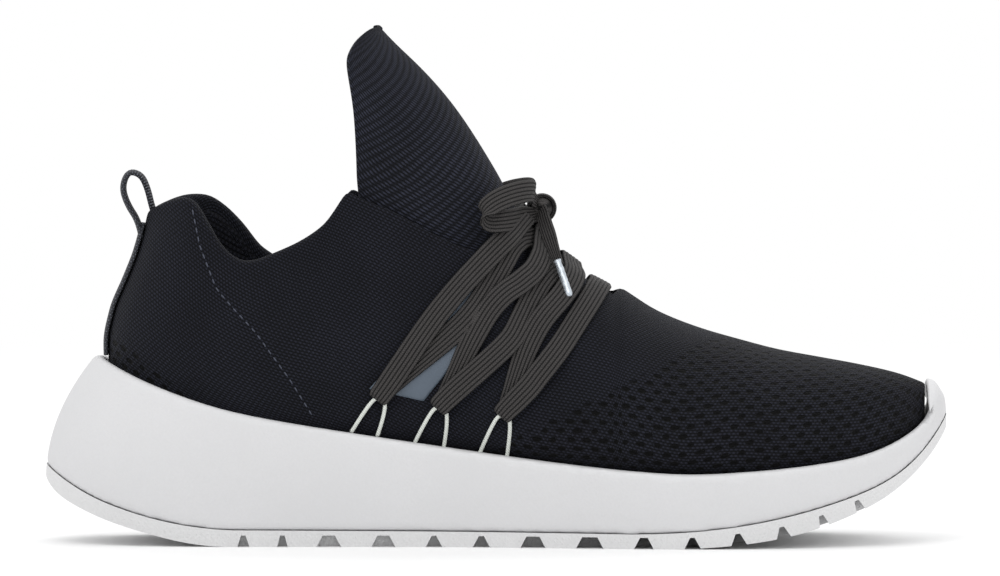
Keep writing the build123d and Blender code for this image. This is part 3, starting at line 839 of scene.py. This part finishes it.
def make_upper():
    build = bmesh.new()
    for side in SIDES.values():
        columns = upper_side(side)
        folds = [(column[OUTER_ROWS] - column[OUTER_ROWS - 1]).length for column in columns]
        closed = next(c for c, fold in enumerate(folds) if fold < 1e-7)
        uvs = weave_of(columns, len(columns[0]) // 3)
        grid_into(build, columns[:closed], uvs[:closed], flip=side > 0)
        ahead = [column[:OUTER_ROWS] for column in columns[closed - 1 :]]
        grid_into(build, ahead, [row[:OUTER_ROWS] for row in uvs[closed - 1 :]], flip=side > 0)
    upper = finish_mesh(build, "upper", UPPER_KNIT, merge=SEAM_MERGE)
    thicken(upper, KNIT_SHEET)
    attach(upper, "shoe", "upper_knit", "upper_knit")


def make_lining():
    build = bmesh.new()
    for side in SIDES.values():
        dense = [column_points(column, side, bottom_height, lining_height, 40)[0] for column in column_ids()]
        outer = [spaced(points, LINING_ROWS) for points in dense]
        normals = normals_of(outer, side)
        columns = [[p - n * LINING_DEPTH * MM for p, n in zip(*pair)] for pair in zip(outer, normals)]
        for point in columns[0]:
            point.y = 0.0
        grid_into(build, columns, weave_of(outer, LINING_ROWS // 3), flip=side > 0)
    lining = finish_mesh(build, "lining", LINING_MESH, merge=SEAM_MERGE)
    thicken(lining, LINING_THICK, levels=0)
    attach(lining, "shoe", "lining", "upper_lining")


# ---------------------------------------------------------------- tongue
TONGUE_ROWS, TONGUE_HALF = 46, 20


def tongue_row(share):
    """Side-view ends of one row of the tongue, from its top (0) to its root (1)."""
    last = len(TONGUE_BACK) - 1
    height = along([(k / last, height) for k, (height, _) in enumerate(TONGUE_BACK)], share)
    back = along([(k / last, place) for k, (_, place) in enumerate(TONGUE_BACK)], share)
    ridge = along([(k / last, place) for k, place in enumerate(TONGUE_RIDGE_PLACES)], share)
    back += TOP_SET_IN * smooth(122, 150, height)
    return (back, height), (ridge, along(RIDGE, ridge))


def tongue_columns():
    """The upper's outer face over the tongue, and the tongue's own face a little below it."""
    rows = []
    for r in range(TONGUE_ROWS + 1):
        back, ridge = tongue_row(r / TONGUE_ROWS)
        row = []
        for s in range(-TONGUE_HALF, TONGUE_HALF + 1):
            share = 1 - math.cos(math.pi / 2 * abs(s) / TONGUE_HALF)
            place, height = mix(ridge[0], back[0], share), mix(ridge[1], back[1], share)
            row.append(surface(place, height, LATERAL if s < 0 else MEDIAL))
        rows.append(row)
    columns = [list(column) for column in zip(*rows)]
    lowered = []
    for column, normals in zip(columns, normals_of(columns, LATERAL, seam=False)):
        line = []
        for point, normal in zip(column, normals):
            depth = mix(TONGUE_DEPTH, TONGUE_TOP_DEPTH, smooth(0.124, 0.15, point.z))
            line.append(point + normal * depth * MM)
        lowered.append(line)
    return columns, lowered


def make_tongue():
    columns, lowered = tongue_columns()
    build = bmesh.new()
    grid_into(build, lowered, weave_of(columns, TONGUE_ROWS // 3, down=-1))
    tongue = finish_mesh(build, "tongue", TONGUE_KNIT, merge=SEAM_MERGE)
    bpy.context.view_layer.update()
    centre = at(110, 0, 120)
    facing = sum((p.center - centre).dot(p.normal) * p.area for p in tongue.data.polygons)
    if facing < 0:
        tongue.data.flip_normals()
    smooth_modifier(tongue, 6)
    thicken(tongue, TONGUE_THICK)
    nodes = ("tongue_base_knit", "tongue_base_lining", "tongue_flap_knit", "tongue_flap_lining")
    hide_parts(*nodes)
    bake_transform(tongue)


# ---------------------------------------------------------------- laces
def band(name, centres, normals, width, thick, material, ring=False):
    """A flat lace ribbed on both faces; its width in millimetres is given by the share of its length."""
    build = bmesh.new()
    across = 4 * RIBS
    lengths = running_length(centres + centres[:1] if ring else centres)
    columns, uvs = [], []
    count = len(centres)
    for k, (centre, normal) in enumerate(zip(centres, normals)):
        run = direction(centres, k, ring)
        side = run.cross(normal).normalized()
        out = side.cross(run).normalized()
        wide = width(k / (count - 1))
        column, uv = [], []
        for face in (1, -1):
            for j in range(across + 1):
                share = (j / across * 2 - 1) * face
                rib = abs(math.sin(math.pi * j * RIBS / across))
                edge = math.sqrt(max(0.0, 1 - abs(share) ** 5))
                rise = face * thick / 2 * (0.72 * edge + 0.28 * rib * edge)
                column.append(centre + (side * share * wide / 2 + out * rise) * MM)
                uv.append(((share + 1) / 2 * RIBS * RIB_PITCH, lengths[k] / MM))
        columns.append(column)
        uvs.append(uv)
    layer = build.loops.layers.uv.new("weave")
    verts = [[build.verts.new(point) for point in column] for column in columns]
    size = len(columns[0])
    for k in range(count if ring else count - 1):
        after = (k + 1) % count
        for j in range(size):
            i = (j + 1) % size
            corners = [(k, j), (k, i), (after, i), (after, j)]
            face = build.faces.new([verts[a][b] for a, b in corners])
            for loop, (a, b) in zip(face.loops, corners):
                v = lengths[count] / MM if ring and a == 0 and k else uvs[a][b][1]
                loop[layer].uv = (uvs[a][b][0], v)
    for end in () if ring else (verts[0], verts[-1]):
        for j in range(size // 2 - 1):
            build.faces.new([end[j], end[j + 1], end[size - 2 - j], end[size - 1 - j]])
    return finish_mesh(build, name, material, merge=LACE_MERGE, recalculate=True)


TOP_AT_LOOP = {("rear", -1), ("middle", 1), ("front", 1)}
STRAIGHT = {("rear", -1), ("front", 1)}
LACE_STEPS, TURN_STEPS = 44, 9
REAR_END_PLACE, REAR_END_ANGLE = 160.5, math.radians(10)
RIBS = 6
LOOP_SINK, TURN_LIFT, TURN_SINK = 0.3, 0.75, 0.3
STRAND_SPREAD, STRAND_BEND, TURN_RADIUS = 3.2, 2.6, 1.15
THROAT_SLOPE = math.radians(22), math.radians(3)


def strand_half(side, loop_name, which, target, over):
    """Centres and normals of half a strand, from its turn at a cord loop to a (place, angle)."""
    place, height = CORD_LOOPS[loop_name][2]
    height -= LOOP_SINK
    start = (place, angle_at(place, height, side))
    target_height = height_at(target[0], abs(target[1]))
    top = (loop_name, which) in TOP_AT_LOOP
    centres, normals = [], []
    for k in range(LACE_STEPS + 1):
        step = k / LACE_STEPS
        angle = mix(start[1], target[1], step)
        turn = abs(angle)
        # The strand looks straight from the side: its place and its height go on in step.
        progress = step
        for _ in range(24):
            now = height_at(mix(start[0], target[0], progress), turn)
            share = min(max((now - height) / (target_height - height), 0.0), 1.0)
            progress = mix(progress, share, 0.35)
        where = mix(start[0], target[0], progress)
        where += which * STRAND_SPREAD * smooth(-0.02, 0.4, step) * (1 - progress)
        if (loop_name, which) not in STRAIGHT:
            where -= which * STRAND_BEND * math.sin(math.pi * smooth(0.3, 1.0, step))
        edge = abs(angle_at(where, along(THROAT, where), 1))
        share = smooth(edge - THROAT_SLOPE[0], edge - THROAT_SLOPE[1], turn)
        rise = mix(LACE_ON_TONGUE, LACE_ON_QUARTER, share)
        near_loop = 1 - smooth(0, 0.06, step)
        if top:
            rise += STACKED * (1 - smooth(0.28, 0.42, step)) + TURN_LIFT * near_loop
        else:
            rise -= TURN_SINK * near_loop
        if over:
            rise += CROSSED * smooth(0.3, 0.46, step)
        normal = outward(where, angle)
        centres.append(draped(where, angle) + normal * rise * MM)
        normals.append(normal)
    if top:
        first, normal = centres[0], normals[0]
        down = (centres[0] - centres[1]).normalized()
        radius = TURN_RADIUS * MM
        turns = [math.pi * k / TURN_STEPS for k in range(TURN_STEPS, 0, -1)]
        outs = [normal * math.cos(turn) + down * math.sin(turn) for turn in turns]
        centres = [first - normal * radius + out * radius for out in outs] + centres
        normals = outs + normals
    return centres, normals


STRANDS = {
    "lace_front_bar": (("front", 1), 185.5, ("front", 1), False),
    "lace_cross_1": (("front", -1), 175, ("middle", 1), True),
    "lace_cross_2": (("middle", 1), 175, ("front", -1), False),
    "lace_cross_3": (("middle", -1), 165.5, ("rear", 1), True),
    "lace_cross_4": (("rear", 1), 165.5, ("middle", -1), False),
}


def lace_width(step):
    """Pinched where the lace turns at a cord loop."""
    return mix(LACE_PINCHED, LACE_WIDTH, smooth(0.02, 0.14, min(step, 1 - step)))


def rear_lace_width(step):
    return mix(LACE_PINCHED, LACE_WIDTH, smooth(0.05, 0.25, step))


def make_laces():
    for name, (lateral, place, medial, over) in STRANDS.items():
        low = strand_half(LATERAL, *lateral, (place, 0.0), over)
        high = strand_half(MEDIAL, *medial, (place, 0.0), over)
        centres, normals = (one + two[-2::-1] for one, two in zip(low, high))
        lace = band(name + "_band", centres, normals, lace_width, LACE_THICK, LACE)
        attach(lace, "shoe", "lace", name)
    for side_name, side in SIDES.items():
        end = (REAR_END_PLACE, side * REAR_END_ANGLE)
        name = f"lace_rear_{side_name}"
        strand = strand_half(side, "rear", -1, end, True)
        lace = band(name + "_band", *strand, rear_lace_width, LACE_THICK, LACE)
        attach(lace, "shoe", "lace", name)


def curve_points(name, route):
    """Points along the NURBS line that a list of route points controls."""
    data = bpy.data.curves.new(name, "CURVE")
    data.dimensions = "3D"
    data.resolution_u = 24
    spline = data.splines.new("NURBS")
    spline.points.add(len(route) - 1)
    for point, place in zip(spline.points, route):
        point.co = (*place, 1)
    spline.order_u = 3
    spline.use_endpoint_u = True
    obj = link(name, data)
    bpy.context.view_layer.update()
    graph = bpy.context.evaluated_depsgraph_get()
    mesh = bpy.data.meshes.new_from_object(obj.evaluated_get(graph))
    points = [vertex.co.copy() for vertex in mesh.vertices]
    bpy.data.objects.remove(obj)
    bpy.data.meshes.remove(mesh)
    return points


def make_cord_loops():
    for side_name, side in SIDES.items():
        for loop_name, route in CORD_LOOPS.items():
            points = [over_upper(place, height, side, CORD_RISE) for place, height in route]
            name = f"cord_loop_{side_name}_{loop_name}"
            line = spaced(curve_points(name + "_line", points), 40)
            attach(tube(name + "_cord", line, cord_radius, CORD), "shoe", "cord", name)


def cord_radius(_share):
    return CORD_RADIUS


def tube(name, line, radius, material, sides=14, squash=1.0):
    """A round or flattened tube; its radius in millimetres is given by the share of its length."""
    build = bmesh.new()
    layer = build.loops.layers.uv.new("weave")
    guide = Vector((0.2, 0.9, 0.1))
    lengths = running_length(line)
    turns = [2 * math.pi * j / sides for j in range(sides)]
    rings = []
    for k, centre in enumerate(line):
        run = direction(line, k)
        guide = (guide - run * guide.dot(run)).normalized()
        two = run.cross(guide)
        size = radius(k / (len(line) - 1)) * MM
        spots = [centre + size * (guide * math.cos(t) * squash + two * math.sin(t)) for t in turns]
        rings.append([build.verts.new(spot) for spot in spots])
    for k in range(len(rings) - 1):
        for j in range(sides):
            i = (j + 1) % sides
            face = build.faces.new([rings[k][j], rings[k + 1][j], rings[k + 1][i], rings[k][i]])
            for loop, (u, v) in zip(face.loops, [(j, k), (j, k + 1), (j + 1, k + 1), (j + 1, k)]):
                loop[layer].uv = (u * 4.0 / sides, lengths[v] / MM)
    build.faces.new(rings[0])
    build.faces.new(rings[-1][::-1])
    return finish_mesh(build, name, material, recalculate=True)


# ---------------------------------------------------------------- knot, bow, tails
KNOT_PLACE, KNOT_RISE = 163.0, 4.4
KNOT_NORMAL = outward(KNOT_PLACE, 0.0)
KNOT_SHIFT = Vector((-1.6, 0, 1.6)) * MM
KNOT = draped(KNOT_PLACE, 0.0) + KNOT_NORMAL * KNOT_RISE * MM + KNOT_SHIFT
WRAP_WIDTH, WRAP_THICK, WRAP_STEPS = 8.6, 1.3, 40
WRAP_AHEAD, WRAP_UP, WRAP_SWAY = 4.3, 4.6, 1.2
CORE_HALF, CORE_STEPS, CORE_END, CORE_SWELL = 5.6, 10, 1.2, 2.9
BOW_WIDTH, BOW_PINCHED, BOW_THICK = 7.6, 4.4, 1.1
TAIL_WIDTH, TAIL_TIP_WIDTH, TAIL_THICK = 5.0, 3.6, 1.2
AGLET_LENGTH, AGLET_RADIUS, AGLET_STEPS = 14.0, 1.25, 28


def from_knot(x, y, z):
    """A point by its offset in millimetres from the middle of the knot."""
    return KNOT + Vector((x, y, z)) * MM


def guided(line, guides):
    """Face directions of a flat lace whose width follows guide directions spread along a line."""
    normals = []
    for k in range(len(line)):
        share = k / (len(line) - 1) * (len(guides) - 1)
        low = min(int(share), len(guides) - 2)
        wide = Vector(guides[low]).lerp(Vector(guides[low + 1]), share - low)
        run = direction(line, k)
        wide = (wide - run * wide.dot(run)).normalized()
        normals.append(run.cross(wide).normalized())
    return normals


def wrap_width(_share):
    return WRAP_WIDTH


def core_radius(share):
    return CORE_END + CORE_SWELL * math.sin(math.pi * share) ** 0.5


def make_knot():
    """A core of gathered lace with one turn of lace round it."""
    along_shoe = KNOT_NORMAL.cross(Vector((0, 1, 0))).normalized() * -1
    centres, normals = [], []
    for k in range(WRAP_STEPS):
        turn = 2 * math.pi * k / WRAP_STEPS
        ahead, up = along_shoe * math.cos(turn), KNOT_NORMAL * math.sin(turn)
        sway = Vector((0, WRAP_SWAY * math.sin(turn), 0))
        centres.append(KNOT + (ahead * WRAP_AHEAD + up * WRAP_UP + sway) * MM)
        normals.append((ahead + up).normalized())
    wrap = band("knot_wrap", centres, normals, wrap_width, WRAP_THICK, LACE, ring=True)
    attach(wrap, "shoe", "lace", "lace_knot")
    line = [from_knot(0, (k / CORE_STEPS - 1) * CORE_HALF, 0) for k in range(2 * CORE_STEPS + 1)]
    attach(tube("knot_core", line, core_radius, LACE, sides=28), "shoe", "lace")


def bow_route(side):
    return [
        from_knot(-0.6, side * 2.6, 1.6),
        from_knot(-3.6, side * 7.0, 3.4),
        over_upper(155.5, 113.6, side, 9.5),
        over_upper(148.5, 112.0, side, 9.6),
        over_upper(143.5, 108.6, side, 8.2),
        over_upper(145.0, 105.2, side, 5.6),
        over_upper(152.0, 105.6, side, 4.9),
        from_knot(-4.6, side * 6.4, -2.2),
        from_knot(0.2, side * 3.0, -1.4),
    ]


def bow_width(share):
    return mix(BOW_PINCHED, BOW_WIDTH, smooth(0.0, 0.16, min(share, 1 - share)))


def make_bow(side_name, side):
    line = spaced(curve_points(f"bow_line_{side_name}", bow_route(side)), 90)
    guides = [(0.15, -side * 0.4, 0.9), (0.1, -side * 0.45, 0.9), (0.1, -side * 0.4, 0.9)]
    bow = band(f"bow_{side_name}", line, guided(line, guides), bow_width, BOW_THICK, LACE)
    attach(bow, "shoe", "lace", f"bow_loop_{side_name}")


def beside(place, height, side, gap):
    """A point at a gap in millimetres outside the upper, square to the middle plane."""
    return at(place, side * (half_width(place, height, side) + gap), height)


def tail_route(side):
    """The tail's route to the aglet, the place where the aglet starts, and its direction."""
    end = beside(170.2, 94.0, side, 8.0)
    tip = beside(174.2, 82.6, side, 4.2)
    run = (tip - end).normalized()
    route = [
        from_knot(-3.4, side * -1.6, 0.6),
        from_knot(-1.0, side * 3.4, 0.6),
        from_knot(0.2, side * 5.8, -0.6),
        from_knot(0.8, side * 8.6, -3.6),
        end - run * 6 * MM,
        end + run * 2.0 * MM,
    ]
    return route, end, run


def tail_width(share):
    return mix(TAIL_WIDTH, TAIL_TIP_WIDTH, smooth(0.6, 0.95, share))


def aglet_radius(share):
    """Crimped round its middle, flared at the lace and narrower at its tip."""
    crimps = 0.10 * max(0.0, math.sin(share * 14 * math.pi)) * (0.15 < share < 0.85)
    flare = 0.25 * (1 - smooth(0.0, 0.08, share))
    return AGLET_RADIUS + flare - crimps - 0.45 * smooth(0.93, 1.0, share)


def make_tail(side_name, side):
    route, end, run = tail_route(side)
    body = f"lace_end_{side_name}"
    line = spaced(curve_points(f"tail_line_{side_name}", route), 60)
    guides = [(0.3, 0, 1), (0.8, side * 0.3, 0.5), (0.9, side * 0.2, 0.3), (0.9, 0, 0.4)]
    tail = band(f"tail_{side_name}", line, guided(line, guides), tail_width, TAIL_THICK, LACE)
    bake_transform(tail)
    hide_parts(f"lace_tail_{side_name}")

    sleeve = [end + run * (AGLET_LENGTH * k / AGLET_STEPS + 0.1) * MM for k in range(AGLET_STEPS + 1)]
    aglet = tube(f"aglet_{side_name}_tip", sleeve, aglet_radius, AGLET, sides=24, squash=0.85)
    attach(aglet, body, "aglet", f"aglet_{side_name}")


# ---------------------------------------------------------------- webbing, film, stitches
def make_webbing():
    heights = [WEB_LOW + WEB_LENGTH * k / WEB_STEPS for k in range(WEB_STEPS + 1)]
    line = [at(along(HEEL_LINE, height) - WEB_RISE, 0, height) for height in heights]
    strip = curved_tape("heel_tape", line, WEB_WIDTH, WEB_THICK)
    attach(strip, "shoe", "webbing", "heel_strip")

    line = spaced(curve_points("tab_line", [at(place, 0, height) for place, height in PULL_TAB]), 60)
    tab = curved_tape("tab_loop", line, TAB_WIDTH, TAB_THICK)
    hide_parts("pull_tab")
    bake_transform(tab)


def curved_tape(name, line, width, thick, across=14):
    """Woven tape with rolled selvedges that bends slightly round the heel."""
    build = bmesh.new()
    lengths = running_length(line)
    columns, uvs = [], []
    for k, centre in enumerate(line):
        out = direction(line, k).cross(Vector((0, 1, 0))).normalized()
        column, uv = [], []
        for face in (1, -1):
            for j in range(across + 1):
                share = (j / across * 2 - 1) * face
                edge = math.sqrt(max(0.0, 1 - abs(share) ** 6))
                beyond = (abs(share) - SELVEDGE_PLACE) / SELVEDGE_WIDTH
                selvedge = SELVEDGE_RISE * math.exp(-(beyond**2))
                point = centre + out * face * thick / 2 * (edge + selvedge) * MM
                aside = Vector((0, share * width / 2 * MM, 0))
                point = point + aside - out * TAPE_BOW * share * share * MM
                column.append(point)
                uv.append(((share + 1) / 2 * width, lengths[k] / MM))
        columns.append(column + column[:1])
        uvs.append(uv + uv[:1])
    grid_into(build, columns, uvs)
    bmesh.ops.remove_doubles(build, verts=build.verts, dist=LACE_MERGE)
    bmesh.ops.holes_fill(build, edges=build.edges, sides=0)
    return finish_mesh(build, name, WEBBING, recalculate=True)


def make_panels(rows=36, cols=18):
    """Thin plain film panels that lie on the quarters."""
    rear_low, rear_top, front_top, front_low = (Vector(corner) for corner in PANEL)
    for side_name, side in SIDES.items():
        uvs = []
        for c in range(cols + 1):
            low, top = rear_low.lerp(front_low, c / cols), rear_top.lerp(front_top, c / cols)
            uvs.append([tuple(low.lerp(top, r / rows)) for r in range(rows + 1)])
        columns = [[over_upper(*spot, side, FILM_RISE) for spot in column] for column in uvs]
        build = bmesh.new()
        grid_into(build, columns, uvs, flip=side > 0)
        panel = finish_mesh(build, f"film_{side_name}", FILM, merge=SEAM_MERGE)
        thicken(panel, FILM_THICK, levels=0)
        attach(panel, "shoe", "film", f"side_panel_{side_name}")


def make_stitches():
    for side_name, side in SIDES.items():
        dense = []
        for before, after in zip(QUARTER_SEAM, QUARTER_SEAM[1:]):
            for k in range(10):
                place, height = mix(before[0], after[0], k / 10), mix(before[1], after[1], k / 10)
                dense.append(surface(place, height, side))
        count = int(running_length(dense)[-1] / (STITCH_PITCH * MM))
        spots = spaced(dense, 3 * count)
        build = bmesh.new()
        for k in range(count):
            add_stitch(build, spots[3 * k], spots[3 * k + 2], Vector((0, side, 0.1)))
        stitches = finish_mesh(build, f"stitches_{side_name}", THREAD, merge=1e-6)
        attach(stitches, "shoe", "upper_knit")


def add_stitch(build, one, two, out):
    """One stitch: a short rounded bar sunk at both ends."""
    side = (two - one).normalized().cross(out).normalized()
    turns = [2 * math.pi * j / STITCH_SIDES for j in range(STITCH_SIDES)]
    rings = []
    for k in range(STITCH_STEPS + 1):
        share = 2 * k / STITCH_STEPS - 1
        size = STITCH_RADIUS * math.sqrt(max(0.05, 1 - share**4)) * MM
        centre = one.lerp(two, k / STITCH_STEPS) + out * (STITCH_RISE - STITCH_SINK * share**2) * MM
        spots = [centre + size * (side * math.cos(t) + out * math.sin(t)) for t in turns]
        rings.append([build.verts.new(spot) for spot in spots])
    for low, high in zip(rings, rings[1:]):
        for j in range(STITCH_SIDES):
            i = (j + 1) % STITCH_SIDES
            build.faces.new([low[j], high[j], high[i], low[i]])
    build.faces.new(rings[0])
    build.faces.new(rings[-1][::-1])


# ---------------------------------------------------------------- sole and inner layers
def make_sole():
    """The midsole with soft edges, its rim tapering to both sides of the toe bumper."""
    midsole = soft_copy("midsole", "midsole_body", 1.25, 5, MIDSOLE)
    for vertex in midsole.data.vertices:
        place = (vertex.co.x - BACK_OF_HEEL) / MM
        rim = along(RIM, place)
        above = vertex.co.z / MM - rim
        if place > TOE_BUMPER_START and above > 0:
            aside = abs(vertex.co.y / MM - TOE_TIP_Y) / TOE_BUMPER_HALF
            vertex.co.z = (rim + above * math.sqrt(max(0.0, 1 - aside * aside))) * MM
    attach(midsole, "shoe", "midsole", "midsole")


def make_inner_layers():
    foam = soft_copy("sockliner_foam", "sock_foam", 1.1, 3, SOCK_COVER)
    attach(foam, "shoe", "foam", "sockliner_foam", "sockliner_cover")
    pad = soft_copy("collar_foam", "collar_pad", 1.1, 4, PADDING, shrink=0.35)
    attach(pad, "shoe", "foam", "collar_foam")


CARRIED = {
    "outsole": OUTSOLE,
    "lasting_board": BOARD,
    "heel_counter": BOARD,
    "toe_puff": BOARD,
    "vamp_backing": PADDING,
}


def finish_carried_nodes():
    """CAD solids that stay as they are and only get their materials."""
    for node, material in CARRIED.items():
        for slot in bpy.data.objects[node].material_slots:
            slot.material = material


make_upper()
make_lining()
make_tongue()
make_laces()
make_cord_loops()
make_knot()
for each_name, each_side in SIDES.items():
    make_bow(each_name, each_side)
    make_tail(each_name, each_side)
make_webbing()
make_panels()
make_stitches()
make_sole()
make_inner_layers()
finish_carried_nodes()
